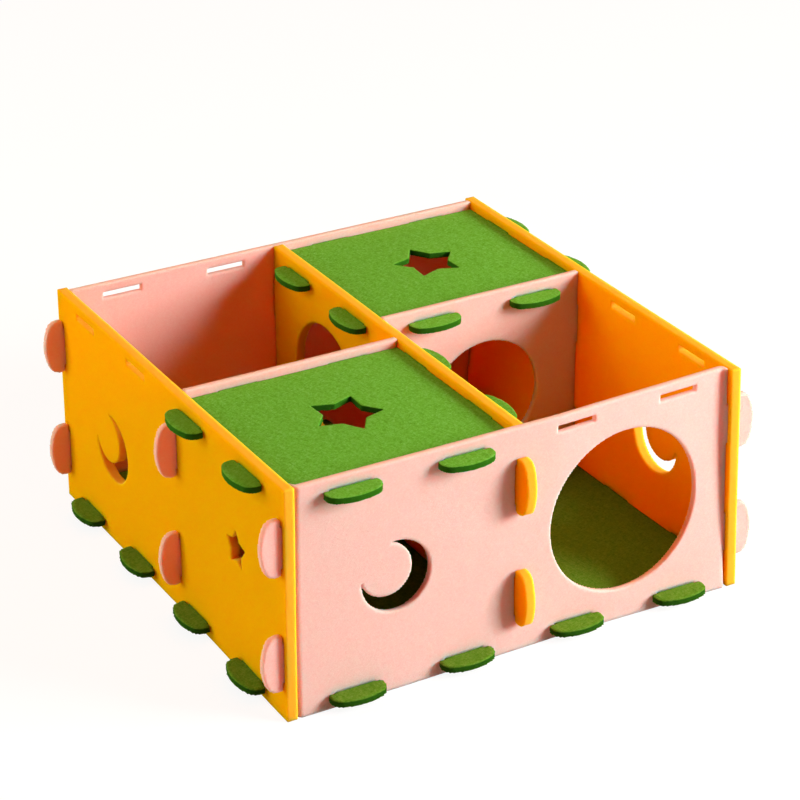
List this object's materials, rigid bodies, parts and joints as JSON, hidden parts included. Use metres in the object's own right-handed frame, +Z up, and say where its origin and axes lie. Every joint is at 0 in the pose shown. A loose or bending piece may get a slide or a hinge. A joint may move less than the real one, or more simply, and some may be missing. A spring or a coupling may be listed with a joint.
{
  "type": "felt hamster hideout",
  "caption": "Low felt box for a hamster, slotted together from flat panels, with chambers joined by round passages, lids over part of it, and moon and star cut-outs.",
  "frame": {"origin": "middle of the footprint at the bottom edges of the outer walls", "axes": "+X to the right along the front wall, +Y from the front wall to the back wall, +Z up"},
  "size_m": [0.2494, 0.2444, 0.11],
  "materials": {
    "yellow_felt": "stiff needled felt",
    "pink_felt": "stiff needled felt",
    "green_felt": "needled felt, mottled"
  },
  "bodies": {
    "root": {"floor_panel": "green_felt", "left_wall": "yellow_felt", "right_wall": "yellow_felt", "centre_wall": "yellow_felt", "front_wall": "pink_felt", "back_wall": "pink_felt", "left_partition": "pink_felt", "right_partition": "pink_felt", "front_left_lid": "green_felt", "back_right_lid": "green_felt"}
  },
  "joints": []
}
